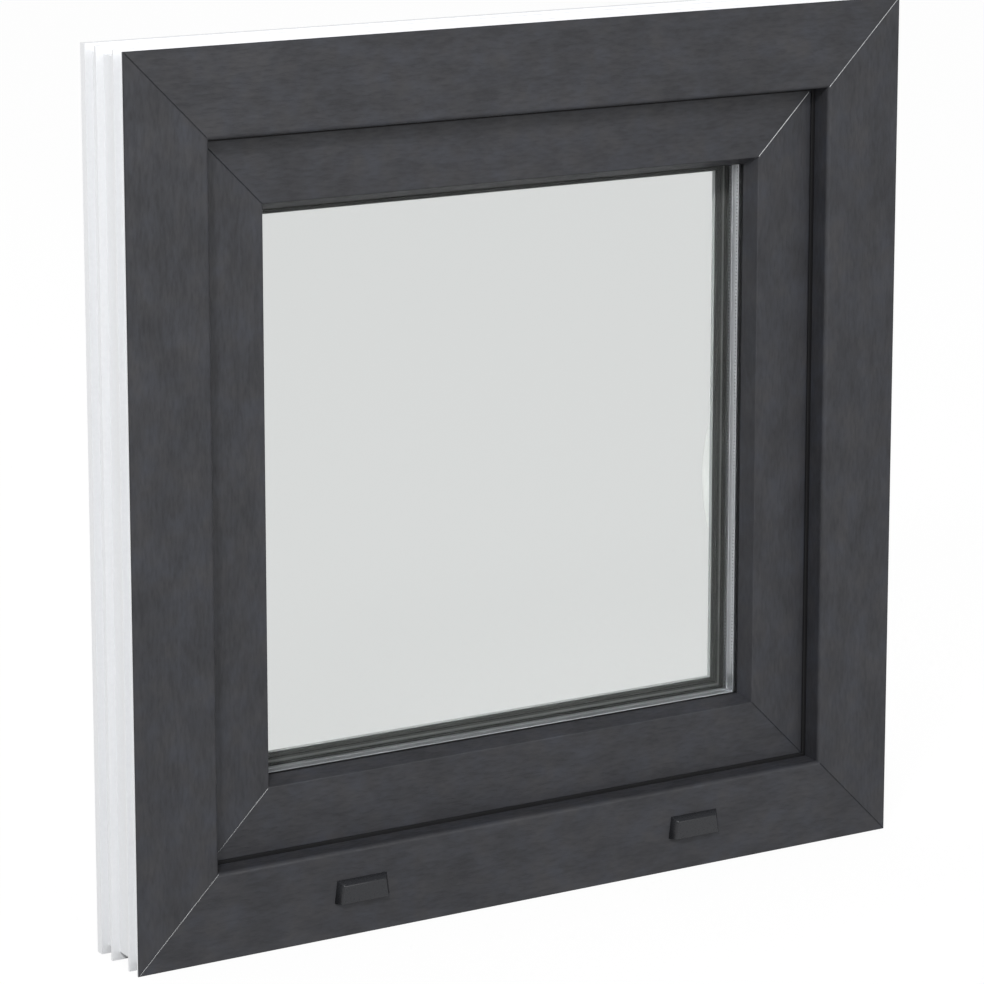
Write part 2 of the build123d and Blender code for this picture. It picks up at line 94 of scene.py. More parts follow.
class ShaderTree:
    """A material and its nodes, with short calls for the kinds that the finishes share."""

    def __init__(self, name: str) -> None:
        """Start a material with one shader on its output.

        Args:
            name: The material's name.
        """
        self.material = bpy.data.materials.new(name)
        self.material.use_nodes = True
        self.tree = self.material.node_tree
        self.tree.nodes.clear()
        self.output = self.tree.nodes.new("ShaderNodeOutputMaterial")
        self.shader = self.tree.nodes.new("ShaderNodeBsdfPrincipled")
        self.tree.links.new(self.shader.outputs["BSDF"], self.output.inputs["Surface"])
        self.place = self.tree.nodes.new("ShaderNodeTexCoord").outputs["Object"]

    def feed(self, target: Socket, value: Feed) -> None:
        """Give an input a link or a plain value.

        Args:
            target: The input.
            value: An output to link from, or the value itself.
        """
        if isinstance(value, bpy.types.NodeSocket):
            self.tree.links.new(value, target)
        else:
            target.default_value = value

    def math(self, operation: str, first: Feed, second: Feed = 0.0) -> Socket:
        """Add one Math node.

        Args:
            operation: Blender's name of the operation.
            first: The first number.
            second: The second number, where the operation has one.

        Returns:
            The result.
        """
        node = self.tree.nodes.new("ShaderNodeMath")
        node.operation = operation
        self.feed(node.inputs[0], first)
        self.feed(node.inputs[1], second)
        return node.outputs[0]

    def stretched(self, scale: Point) -> Socket:
        """Scale the piece's own coordinates.

        Args:
            scale: Factor along each axis, in periods a metre.

        Returns:
            The scaled coordinates.
        """
        node = self.tree.nodes.new("ShaderNodeVectorMath")
        node.operation = "MULTIPLY"
        self.feed(node.inputs[0], self.place)
        node.inputs[1].default_value = scale
        return node.outputs[0]

    def noise(self, vector: Socket, detail: float, roughness: float) -> Socket:
        """Add a Noise texture of scale 1.

        Args:
            vector: Coordinates that already hold the scale.
            detail: How many finer layers it has.
            roughness: How strong they are.

        Returns:
            The noise, from 0 to 1.
        """
        node = self.tree.nodes.new("ShaderNodeTexNoise")
        self.feed(node.inputs["Vector"], vector)
        node.inputs["Scale"].default_value = 1.0
        node.inputs["Detail"].default_value = detail
        node.inputs["Roughness"].default_value = roughness
        return node.outputs[0]

    def even_noise(self, scale: float, detail: float, roughness: float = 0.5) -> Socket:
        """Add a noise with the same number of periods a metre along every axis."""
        return self.noise(self.stretched((scale, scale, scale)), detail, roughness)

    def levels(self, value: Feed, start: Pair, end: Pair) -> Socket:
        """Map a number from one range to another, clamped.

        Args:
            value: The number.
            start: The range that it comes in.
            end: The range that it goes to.

        Returns:
            The mapped number.
        """
        node = self.tree.nodes.new("ShaderNodeMapRange")
        self.feed(node.inputs["Value"], value)
        node.inputs["From Min"].default_value, node.inputs["From Max"].default_value = start
        node.inputs["To Min"].default_value, node.inputs["To Max"].default_value = end
        return node.outputs["Result"]

    def blend(self, share: Feed, first: Feed, second: Feed) -> Socket:
        """Mix two numbers.

        Args:
            share: How much of the second there is.
            first: The number at share 0.
            second: The number at share 1.

        Returns:
            The mixed number.
        """
        node = self.tree.nodes.new("ShaderNodeMix")
        node.data_type = "FLOAT"
        for index, value in enumerate((share, None, first, second)):
            if value is not None:
                self.feed(node.inputs[index], value)
        return node.outputs[0]

    def blend_colours(self, share: Feed, first: Feed, second: Feed) -> Socket:
        """Mix two colours.

        Args:
            share: How much of the second there is.
            first: The colour at share 0.
            second: The colour at share 1.

        Returns:
            The mixed colour.
        """
        node = self.tree.nodes.new("ShaderNodeMix")
        node.data_type = "RGBA"
        self.feed(node.inputs[0], share)
        self.feed(node.inputs[6], first)
        self.feed(node.inputs[7], second)
        return node.outputs[2]

    def bump(self, height: Feed, distance: float) -> None:
        """Add relief to the shader.

        Args:
            height: The relief, from 0 to 1.
            distance: What 1 stands for, in metres.
        """
        node = self.tree.nodes.new("ShaderNodeBump")
        node.inputs["Strength"].default_value = 1.0
        node.inputs["Distance"].default_value = distance
        self.feed(node.inputs["Height"], height)
        self.feed(self.shader.inputs["Normal"], node.outputs["Normal"])


@dataclass(frozen=True)
class FoilFinish:
    """Grained anthracite foil on the weather side of a white plastic profile.

    The foil covers what lies within skin_depth of the outer face. Further in than lip_inset it
    goes on round the lip, to lip_depth.
    """

    name: str
    grain: Grain
    opening: "Opening"
    skin_depth: float
    lip_inset: float
    lip_depth: float
    foil_dark: Colour = (0.0192, 0.0198, 0.0236, 1.0)
    foil_cool: Colour = (0.0325, 0.0350, 0.0440, 1.0)
    foil_warm: Colour = (0.0355, 0.0352, 0.0390, 1.0)
    foil_roughness: Pair = (0.62, 0.46)
    plastic: Colour = (0.80, 0.81, 0.825, 1.0)
    plastic_shade: float = 0.97
    plastic_roughness: Pair = (0.34, 0.42)
    stroke_length: float = 0.0080
    stroke_width: float = 0.0021
    stroke_tone: Pair = (0.12, 0.60)
    pore_span: Pair = (0.30, 0.48)
    cloud_size: float = 0.015
    cloud_stretch: float = 0.5
    cloud_tone: Pair = (-0.25, 0.45)
    tint_scale: float = 70.0
    tint_span: Pair = (0.35, 0.65)
    speck_scale: float = 420.0
    speck_height: float = 0.15
    relief: float = 0.00006

    def axes(self, along: float, across: float) -> Point:
        """Put an "along" and an "across" factor on the axes of this member."""
        return (along, across, across) if self.grain is Grain.LEVEL else (across, across, along)

    def foil_share(self, shader: ShaderTree) -> Socket:
        """Tell foil from bare plastic by depth and by distance from the frame's outer edge.

        Args:
            shader: The material being made.

        Returns:
            1 on the foil, 0 on the plastic.
        """
        split = shader.tree.nodes.new("ShaderNodeSeparateXYZ")
        shader.feed(split.inputs[0], shader.place)
        x, y, z = split.outputs
        side = shader.math("SUBTRACT", self.opening.half_width, shader.math("ABSOLUTE", x))
        top = shader.math("SUBTRACT", self.opening.height, z)
        inset = shader.math("MINIMUM", side, shader.math("MINIMUM", z, top))
        on_face = shader.math("LESS_THAN", y, self.opening.outer_face + self.skin_depth)
        on_lip = shader.math("GREATER_THAN", inset, self.lip_inset)
        before = shader.math("LESS_THAN", y, self.opening.outer_face + self.lip_depth)
        return shader.math("MAXIMUM", on_face, shader.math("MULTIPLY", on_lip, before))

    def foil_colour(self, shader: ShaderTree, strokes: Socket, clouds: Socket) -> Socket:
        """Colour the foil: fine strokes over soft clouds, in a cooler and a warmer grey.

        Args:
            shader: The material being made.
            strokes: Noise drawn out along the grain.
            clouds: Broader noise.

        Returns:
            The foil's colour.
        """
        tone = shader.math(
            "ADD",
            shader.levels(strokes, NOISE_SPAN, self.stroke_tone),
            shader.levels(clouds, NOISE_SPAN, self.cloud_tone),
        )
        tint = shader.even_noise(self.tint_scale, 1.0)
        warmth = shader.levels(tint, self.tint_span, FULL_SPAN)
        lit = shader.blend_colours(warmth, self.foil_cool, self.foil_warm)
        return shader.blend_colours(tone, self.foil_dark, lit)

    def material(self) -> bpy.types.Material:
        """Make the finish.

        Returns:
            The material.
        """
        shader = ShaderTree(self.name)
        share = self.foil_share(shader)
        stroke_scale = self.axes(1 / self.stroke_length, 1 / self.stroke_width)
        strokes = shader.noise(shader.stretched(stroke_scale), 3.0, 0.55)
        cloud_scale = self.axes(self.cloud_stretch / self.cloud_size, 1 / self.cloud_size)
        clouds = shader.noise(shader.stretched(cloud_scale), 2.0, 0.5)
        speck = shader.even_noise(self.speck_scale, 2.0)
        foil = self.foil_colour(shader, strokes, clouds)
        shade = tuple(self.plastic_shade * part for part in self.plastic[:3]) + (1.0,)
        plastic_value = shader.levels(speck, NOISE_SPAN, FULL_SPAN)
        plastic = shader.blend_colours(plastic_value, shade, self.plastic)
        inputs = shader.shader.inputs
        shader.feed(inputs["Base Color"], shader.blend_colours(share, plastic, foil))
        foil_roughness = shader.levels(strokes, NOISE_SPAN, self.foil_roughness)
        plastic_roughness = shader.levels(speck, NOISE_SPAN, self.plastic_roughness)
        shader.feed(inputs["Roughness"], shader.blend(share, plastic_roughness, foil_roughness))
        pores = shader.levels(strokes, self.pore_span, FULL_SPAN)
        grit = shader.math("MULTIPLY", speck, self.speck_height)
        shader.bump(shader.blend(share, grit, pores), self.relief)
        return shader.material


@dataclass(frozen=True)
class PlasticFinish:
    """Moulded or extruded plastic, or a painted cover, with a fine even texture."""

    name: str
    light: Colour
    dark: Colour
    roughness: Pair
    texture: float
    relief: float
    gloss: float = 0.5
    broad_scale: float = 18.0

    def material(self) -> bpy.types.Material:
        """Make the finish.

        Returns:
            The material.
        """
        shader = ShaderTree(self.name)
        fine = shader.even_noise(1 / self.texture, 3.0, 0.6)
        broad = shader.even_noise(self.broad_scale, 2.0)
        tone = shader.math("MULTIPLY", shader.math("ADD", fine, broad), 0.5)
        value = shader.levels(tone, NOISE_SPAN, FULL_SPAN)
        inputs = shader.shader.inputs
        shader.feed(inputs["Base Color"], shader.blend_colours(value, self.dark, self.light))
        shader.feed(inputs["Roughness"], shader.levels(fine, NOISE_SPAN, self.roughness))
        inputs["Specular IOR Level"].default_value = self.gloss
        shader.bump(fine, self.relief)
        return shader.material


@dataclass(frozen=True)
class GlassFinish:
    """Clear float glass that lets the lamps' light through."""

    name: str = "float_glass"
    tint: Colour = (0.925, 0.935, 0.931, 1.0)
    light_tint: Colour = (0.93, 0.94, 0.935, 1.0)
    bending: float = 1.15
    haze_scale: float = 9.0
    haze_roughness: Pair = (0.0, 0.012)

    def material(self) -> bpy.types.Material:
        """Make the finish.

        Returns:
            The material.
        """
        shader = ShaderTree(self.name)
        inputs = shader.shader.inputs
        inputs["Base Color"].default_value = self.tint
        inputs["Transmission Weight"].default_value = 1.0
        inputs["IOR"].default_value = self.bending
        haze = shader.even_noise(self.haze_scale, 2.0)
        shader.feed(inputs["Roughness"], shader.levels(haze, NOISE_SPAN, self.haze_roughness))
        clear = shader.tree.nodes.new("ShaderNodeBsdfTransparent")
        clear.inputs["Color"].default_value = self.light_tint
        path = shader.tree.nodes.new("ShaderNodeLightPath")
        mix = shader.tree.nodes.new("ShaderNodeMixShader")
        shader.feed(mix.inputs[0], path.outputs["Is Shadow Ray"])
        shader.feed(mix.inputs[1], shader.shader.outputs["BSDF"])
        shader.feed(mix.inputs[2], clear.outputs["BSDF"])
        shader.feed(shader.output.inputs["Surface"], mix.outputs["Shader"])
        return shader.material


@dataclass(frozen=True)
class SpacerFinish:
    """Rolled aluminium with lines of fine perforations."""

    name: str = "perforated_aluminium"
    metal: Colour = (0.66, 0.67, 0.70, 1.0)
    hole: Colour = (0.03, 0.03, 0.03, 1.0)
    pitch: float = 0.00245
    middle: float = 0.0014
    row_offset: float = 0.0043
    hole_size: float = 0.0012
    hole_span: Pair = (0.2, 0.5)
    hole_height: float = 3.0
    scratch_scale: Point = (300.0, 2600.0, 300.0)
    roughness: Pair = (0.36, 0.50)
    relief: float = 0.00003

    def material(self) -> bpy.types.Material:
        """Make the finish.

        Returns:
            The material.
        """
        shader = ShaderTree(self.name)
        split = shader.tree.nodes.new("ShaderNodeSeparateXYZ")
        shader.feed(split.inputs[0], shader.place)
        x, y, z = split.outputs
        turn = 2 * math.pi / self.pitch
        from_middle = shader.math("ABSOLUTE", shader.math("SUBTRACT", y, self.middle))
        off_row = shader.math("ABSOLUTE", shader.math("SUBTRACT", from_middle, self.row_offset))
        rows = shader.levels(off_row, (self.hole_size / 2, self.hole_size / 4), FULL_SPAN)
        along_x = shader.math("COSINE", shader.math("MULTIPLY", x, turn))
        along_z = shader.math("COSINE", shader.math("MULTIPLY", z, turn))
        along = shader.math("MULTIPLY", along_x, along_z)
        dots = shader.math("MULTIPLY", rows, shader.levels(along, self.hole_span, FULL_SPAN))
        scratches = shader.noise(shader.stretched(self.scratch_scale), 2.0, 0.6)
        inputs = shader.shader.inputs
        shader.feed(inputs["Base Color"], shader.blend_colours(dots, self.metal, self.hole))
        inputs["Metallic"].default_value = 1.0
        shader.feed(inputs["Roughness"], shader.levels(scratches, NOISE_SPAN, self.roughness))
        holes = shader.math("MULTIPLY", dots, self.hole_height)
        shader.bump(shader.math("SUBTRACT", scratches, holes), self.relief)
        return shader.material


def dress(node: bpy.types.Object, material: bpy.types.Material) -> None:
    """Give every material slot of a CAD node one finish.

    Args:
        node: The CAD node's object.
        material: The finish.
    """
    if not node.material_slots:
        node.data.materials.append(material)
    for held in node.material_slots:
        held.material = material


WHITE_PLASTIC = PlasticFinish(
    name="white_plastic",
    light=(0.85, 0.86, 0.86, 1.0),
    dark=(0.80, 0.81, 0.81, 1.0),
    roughness=(0.34, 0.44),
    texture=0.0016,
    relief=0.00001,
)
# Light bead colour: a painted highlight in the weld grooves of the top-right and bottom-left
# mitres.
WELD_HIGHLIGHT_PAINT = PlasticFinish(
    name="painted_weld_highlight",
    light=(0.75, 0.76, 0.77, 1.0),
    dark=(0.28, 0.29, 0.30, 1.0),
    roughness=(0.30, 0.45),
    texture=0.0021,
    relief=0.00002,
)
# Grey of the lip over the beads' edge: painted shade on the beads' flat face beside the glass.
SHADE_LIP_PAINT = PlasticFinish(
    name="painted_shade_grey",
    light=(0.42, 0.43, 0.43, 1.0),
    dark=(0.36, 0.37, 0.37, 1.0),
    roughness=(0.45, 0.6),
    texture=0.0008,
    relief=0.00001,
)
DARK_PLASTIC = PlasticFinish(
    name="anthracite_plastic",
    light=(0.025, 0.026, 0.029, 1.0),
    dark=(0.019, 0.020, 0.023, 1.0),
    roughness=(0.24, 0.36),
    texture=0.0009,
    relief=0.00002,
)
BLACK_RUBBER = PlasticFinish(
    name="black_rubber",
    light=(0.009, 0.009, 0.010, 1.0),
    dark=(0.004, 0.004, 0.005, 1.0),
    roughness=(0.55, 0.75),
    texture=0.0006,
    relief=0.00003,
    gloss=0.25,
)
GREY_RUBBER = PlasticFinish(
    name="dark_grey_rubber",
    light=(0.040, 0.041, 0.040, 1.0),
    dark=(0.026, 0.027, 0.026, 1.0),
    roughness=(0.45, 0.6),
    texture=0.0006,
    relief=0.00002,
    gloss=0.4,
)
# Lighter grey of the inner gasket's ribs: painted highlight lines along that gasket.
RIB_HIGHLIGHT_PAINT = PlasticFinish(
    name="painted_rib_highlight",
    light=(0.14, 0.143, 0.14, 1.0),
    dark=(0.105, 0.107, 0.105, 1.0),
    roughness=(0.4, 0.55),
    texture=0.0006,
    relief=0.00001,
)
PAINTED_METAL = PlasticFinish(
    name="white_paint",
    light=(0.88, 0.88, 0.87, 1.0),
    dark=(0.84, 0.84, 0.83, 1.0),
    roughness=(0.26, 0.36),
    texture=0.0012,
    relief=0.00001,
)


@dataclass(frozen=True)
class Opening:
    """The outer sizes that every ring of the window is set out from."""

    half_width: float
    height: float
    outer_face: float

    @classmethod
    def measured(cls) -> "Opening":
        """Read the sizes off the CAD frame."""
        sill_low, sill_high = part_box("frame_sill")
        return cls(sill_high.x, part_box("frame_head")[1].z, sill_low.y)

    def corners(self, inset: float, deep: float) -> list[Point]:
        """Give the four corners of a rectangle inside the frame's outer edge.

        Args:
            inset: Distance from the frame's outer edge.
            deep: Distance behind the frame's outer face.

        Returns:
            The corners, in order round the rectangle.
        """
        x = self.half_width - inset
        y = self.outer_face + deep
        low, high = inset, self.height - inset
        return [(-x, y, low), (x, y, low), (x, y, high), (-x, y, high)]


def add_mesh(name: str, points: list[Point], faces: list[tuple[int, ...]]) -> bpy.types.Object:
    """Make a mesh object with its normals facing out and its soft edges smooth.

    Args:
        name: The object's name.
        points: The mesh's points, in the row frame.
        faces: The faces, as indices of points.

    Returns:
        The object.
    """
    mesh = bpy.data.meshes.new(name)
    mesh.from_pydata(points, [], faces)
    work = bmesh.new()
    work.from_mesh(mesh)
    bmesh.ops.recalc_face_normals(work, faces=work.faces)
    work.to_mesh(mesh)
    work.free()
    mesh.shade_smooth()
    mesh.set_sharp_from_angle(angle=math.radians(SHARP_ANGLE))
    piece = bpy.data.objects.new(name, mesh)
    bpy.context.scene.collection.objects.link(piece)
    return piece


def skin(rings: list[list[Point]], closed_path: bool = False) -> Solid:
    """Join equal rings of points into a tube.

    Args:
        rings: The rings, in order along the tube.
        closed_path: Whether the last ring joins the first. Otherwise both ends get a face.

    Returns:
        The points and the faces.
    """
    size = len(rings[0])
    points = [point for ring in rings for point in ring]
    faces: list[tuple[int, ...]] = []
    joins = len(rings) if closed_path else len(rings) - 1
    for step in range(joins):
        here, there = step * size, (step + 1) % len(rings) * size
        for i in range(size):
            k = (i + 1) % size
            faces.append((here + i, here + k, there + k, there + i))
    if not closed_path:
        faces.append(tuple(range(size)))
        faces.append(tuple(range(len(points) - size, len(points))))
    return points, faces


def joined(name: str, solids: list[Solid]) -> bpy.types.Object:
    """Make one object of several closed solids.

    Args:
        name: The object's name.
        solids: Points and faces of each.

    Returns:
        The object.
    """
    points: list[Point] = []
    faces: list[tuple[int, ...]] = []
    for more_points, more_faces in solids:
        start = len(points)
        points += more_points
        faces += [tuple(start + i for i in face) for face in more_faces]
    return add_mesh(name, points, faces)


def arc(centre: Pair, radius: float, start: float, stop: float, steps: int) -> Section:
    """Place points along an arc.

    Args:
        centre: Its centre.
        radius: Its radius.
        start: Angle of its first point, in degrees.
        stop: Angle of its last point, in degrees.
        steps: How many points it has.

    Returns:
        The points.
    """
    angles = [math.radians(start + (stop - start) * i / (steps - 1)) for i in range(steps)]
    return [(centre[0] + radius * math.cos(a), centre[1] + radius * math.sin(a)) for a in angles]


def rounded_rectangle(centre: Pair, half: Pair, radius: float, steps: int) -> Section:
    """Place points round a rectangle with round corners.

    Args:
        centre: Its centre.
        half: How far the corners' centres lie from it, each way.
        radius: The corners' radius.
        steps: How many points each corner has.

    Returns:
        The points.
    """
    points: Section = []
    for start, right, up in QUARTER_TURNS:
        middle = (centre[0] + right * half[0], centre[1] + up * half[1])
        points += arc(middle, radius, start, start + 90.0, steps)
    return points


@dataclass(frozen=True)
class WeldHighlight:
    """A fine light bead in the groove of a welded mitre, which paints the groove's highlight."""

    mitre: HighlightMitre
    run: Pair
    deep: float
    sink: float = 0.00008
    rise: float = 0.00022

    def build(self, name: str, opening: Opening) -> bpy.types.Object:
        """Lay a three-sided bar along the mitre, just under the face.

        Args:
            name: The object's name.
            opening: The sizes that the mitre is set out from.

        Returns:
            The bead.
        """
        side, end, width = self.mitre.value
        half = width / 2 * math.sqrt(0.5)
        y = opening.outer_face + self.deep
        rings = []
        for inset in self.run:
            x = side * (opening.half_width - inset)
            z = opening.height - inset if end > 0 else inset
            rings.append([
                (x - side * half, y + self.rise, z + end * half),
                (x, y + self.sink, z),
                (x + side * half, y + self.rise, z - end * half),
            ])
        return add_mesh(name, *skin(rings))


@dataclass
class Assembly:
    """What every sub-assembly of the window has: the CAD nodes by name, and the outer sizes."""

    nodes: dict[str, bpy.types.Object]
    opening: Opening

    def finish(self, names: tuple[str, ...], material: bpy.types.Material) -> None:
        """Dress some nodes and report each.

        Args:
            names: The nodes.
            material: Their finish.
        """
        for name in names:
            dress(self.nodes[name], material)
            LOG.info("%s: %s", name, material.name)

    def add(self, piece: bpy.types.Object, slot: str, material: bpy.types.Material) -> None:
        """Dress a new piece, fix it to the window and report it.

        Args:
            piece: The new piece.
            slot: The record's material slot of the piece. Not used.
            material: The piece's finish.
        """
        piece.data.materials.append(material)
        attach(piece, "root")
        LOG.info("%s: %s", piece.name, material.name)

    def replace(
        self, piece: bpy.types.Object, node: str, slot: str, material: bpy.types.Material
    ) -> None:
        """Let a finer piece stand for a CAD node.

        Args:
            piece: The finer piece.
            node: The CAD node.
            slot: The record's material slot of the piece.
            material: The piece's finish.
        """
        self.add(piece, slot, material)
        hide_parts(node)

    def ring(self, name: str, outline: Section) -> bpy.types.Object:
        """Make a mitred ring of one section.

        Args:
            name: The object's name.
            outline: The section's points, as (inset, deep).

        Returns:
            The ring.
        """
        corners = [self.opening.corners(inset, deep) for inset, deep in outline]
        rings = [[point[side] for point in corners] for side in range(4)]
        return add_mesh(name, *skin(rings, closed_path=True))

    def weld(self, owner: str, run: Pair, deep: float) -> None:
        """Lay the painted highlight beads of the two mitres that get one.

        Args:
            owner: What is welded, the frame or the sash.
            run: Insets at which the beads start and end.
            deep: Depth of the welded face.
        """
        # The beads' light colour is a painted highlight.
        bare = WELD_HIGHLIGHT_PAINT.material()
        for mitre in HighlightMitre:
            bead = WeldHighlight(mitre, run, deep)
            name = f"{owner}_weld_bead_{mitre.name.lower()}"
            self.add(bead.build(name, self.opening), f"{owner}_profile", bare)


@dataclass
class OuterFrame(Assembly):
    """The frame that stands in the wall, with the gasket that the sash closes on."""

    edge_skin: float = 0.0013
    lip_inset: float = 0.050
    lip_depth: float = 0.0153
    seal_start: float = 0.0506
    seal_front: float = 0.0150
    seal_back: float = 0.0170
    seal_nose: float = 0.0618
    foot_middle: float = 0.0540
    foot_neck: float = 0.0009
    foot_head: float = 0.0017
    foot_step: float = 0.0014
    foot_end: float = 0.0025
    highlight_run: Pair = (0.0012, 0.0590)

    def seal_outline(self) -> Section:
        """Draw the gasket's section: a flat strip with a round nose and an undercut foot.

        Returns:
            The section.
        """
        radius = (self.seal_back - self.seal_front) / 2
        nose = arc((self.seal_nose, self.seal_front + radius), radius, -90.0, 90.0, 9)
        step = self.seal_front - self.foot_step
        tip = self.seal_front - self.foot_end
        half_foot = [
            (self.foot_neck, self.seal_front), (self.foot_neck, step),
            (self.foot_head, step), (self.foot_head, tip),
        ]
        foot = [(self.foot_middle - half, deep) for half, deep in half_foot]
        foot += [(self.foot_middle + half, deep) for half, deep in reversed(half_foot)]
        start = self.seal_start
        return [(start, self.seal_front), *foot, *nose, (start, self.seal_back)]

    def build(self) -> None:
        """Dress the four members and make the gasket and the painted weld highlights."""
        for grain, names in (
            (Grain.LEVEL, ("frame_head", "frame_sill")),
            (Grain.UPRIGHT, ("frame_left_jamb", "frame_right_jamb")),
        ):
            foil = FoilFinish(
                f"frame_foil_{grain.value}", grain, self.opening,
                skin_depth=self.edge_skin, lip_inset=self.lip_inset, lip_depth=self.lip_depth,
            )
            self.finish(names, foil.material())
        seal = self.ring("frame_seal", self.seal_outline())
        self.replace(seal, "frame_gasket", "gasket", BLACK_RUBBER.material())
        self.weld("frame", self.highlight_run, 0.0)


@dataclass
class Sash(Assembly):
    """The leaf that opens, with the gasket of its lap."""

    foil_depth: float = 0.0284
    face_depth: float = 0.0170
    highlight_run: Pair = (0.0640, 0.1055)

    def build(self) -> None:
        """Dress the four members and the gasket and make the painted weld highlights."""
        for grain, names in (
            (Grain.LEVEL, ("sash_top_rail", "sash_bottom_rail")),
            (Grain.UPRIGHT, ("sash_left_stile", "sash_right_stile")),
        ):
            foil = FoilFinish(
                f"sash_foil_{grain.value}", grain, self.opening,
                skin_depth=self.foil_depth, lip_inset=0.0, lip_depth=self.foil_depth,
            )
            self.finish(names, foil.material())
        self.finish(("sash_gasket",), BLACK_RUBBER.material())
        self.weld("sash", self.highlight_run, self.face_depth)


@dataclass
class Glazing(Assembly):
    """The double glazing with its spacer, its gaskets and its beads."""

    spacer_low: float = 0.1045
    spacer_sight: float = 0.1110
    spacer_front: float = 0.0340
    spacer_back: float = 0.0460
    spacer_round: float = 0.0007
    channel_half: float = 0.0014
    channel_depth: float = 0.00025
    seal_low: float = 0.1020
    seal_sight: float = 0.1183
    seal_front: float = 0.0500
    seal_back: float = 0.0525
    seal_round: float = 0.0009
    groove_places: tuple[float, ...] = (0.1102, 0.1116, 0.1157)
    groove_half: float = 0.0005
    groove_depth: float = 0.0006
    rib_places: tuple[Pair, ...] = ((0.1089, 0.00035), (0.1131, 0.0007))
    rib_depth: float = 0.0004
    lip_overlap: float = 0.0005
    lip_proud: float = 0.0006
    lip_length: float = 0.0033
    lip_straight: float = 0.00264
    bed_low: float = 0.1021
    bed_sight: float = 0.1117
    bed_front: float = 0.0280
    bed_back: float = 0.0300
    bed_slope: Pair = (0.0004, 0.0008)

    def spacer_outline(self) -> Section:
        """Draw the spacer's section: a box with rounded shoulders and a shallow channel.

        Returns:
            The section.
        """
        middle = (self.spacer_front + self.spacer_back) / 2
        turn = self.spacer_round
        top = self.spacer_sight
        far = arc((top - turn, self.spacer_back - turn), turn, 90.0, 0.0, 4)
        near = arc((top - turn, self.spacer_front + turn), turn, 0.0, -90.0, 4)
        wide = self.channel_half + self.channel_depth
        channel = [
            (top, middle + wide),
            (top - self.channel_depth, middle + self.channel_half),
            (top - self.channel_depth, middle - self.channel_half),
            (top, middle - wide),
        ]
        low = self.spacer_low
        return [(low, self.spacer_front), (low, self.spacer_back), *far, *channel, *near]

    def notch(self, low: float, high: float) -> Section:
        """Draw a square notch of a rib's depth in the inner gasket's front."""
        bottom = self.seal_front + self.rib_depth
        return [(low, self.seal_front), (low, bottom), (high, bottom), (high, self.seal_front)]

    def seal_outline(self) -> Section:
        """Draw the inner gasket's section: a strip with fine grooves and with notches for the
        lighter ribs that paint its highlight lines.

        Returns:
            The section.
        """
        front, half = self.seal_front, self.groove_half
        cuts = [
            [(place - half, front), (place, front + self.groove_depth), (place + half, front)]
            for place in self.groove_places
        ]
        cuts += [self.notch(place - half, place + half) for place, half in self.rib_places]
        relief = [point for cut in sorted(cuts) for point in cut]
        low, sight, back, turn = self.seal_low, self.seal_sight, self.seal_back, self.seal_round
        nose = arc((sight - turn, front + turn), turn, -90.0, 0.0, 5)
        return [(low, front), *relief, *nose, (sight, back), (low, back)]

    def bed_outline(self) -> Section:
        """Draw the outer gasket's section: a strip whose nose slopes to the glass.

        Returns:
            The section.
        """
        low, sight, front, back = self.bed_low, self.bed_sight, self.bed_front, self.bed_back
        across, along = self.bed_slope
        nose = [(sight - across, front), (sight, front + along)]
        return [(low, front), *nose, (sight, back), (low, back)]

    def shade_lip_outline(self) -> Section:
        """Draw the section of the grey lip on the beads' edge, which paints the shade on their flat
        face.

        Returns:
            The section.
        """
        sight, front, start = self.seal_sight, self.seal_back, self.seal_sight - self.lip_overlap
        proud, end = sight + self.lip_proud, front + self.lip_length
        edge = [(proud, front), (proud, front + self.lip_straight), (sight, end)]
        return [(start, front), *edge, (start, end)]

    def build(self) -> None:
        """Dress the panes and beads and make the spacer and the gaskets at the glass."""
        self.finish(("outer_pane", "inner_pane"), GlassFinish().material())
        spacer = self.ring("glass_spacer", self.spacer_outline())
        self.replace(spacer, "spacer_bar", "spacer", SpacerFinish().material())
        bed = self.ring("glass_bed", self.bed_outline())
        self.replace(bed, "outer_glazing_gasket", "gasket", BLACK_RUBBER.material())
        # A grey lip over the beads' flat face paints their shade.
        self.add(self.ring("bead_shade_lip", self.shade_lip_outline()), "gasket", SHADE_LIP_PAINT.material())
        seal = self.ring("bead_seal", self.seal_outline())
        self.replace(seal, "inner_glazing_gasket", "gasket", GREY_RUBBER.material())
        # The ribs' lighter grey is a painted highlight.
        rib_highlight_material = RIB_HIGHLIGHT_PAINT.material()
        for number, (place, half) in enumerate(self.rib_places, start=1):
            rib = self.ring(f"bead_seal_rib_{number}", self.notch(place - half, place + half))
            self.add(rib, "gasket", rib_highlight_material)
        beads = ("top_bead", "bottom_bead", "left_bead", "right_bead")
        self.finish(beads, WHITE_PLASTIC.material())


class HoodOutline(NamedTuple):
    """A hood's outline seen from outside: its lower width, its upper width and its height."""

    low: float
    high: float
    height: float


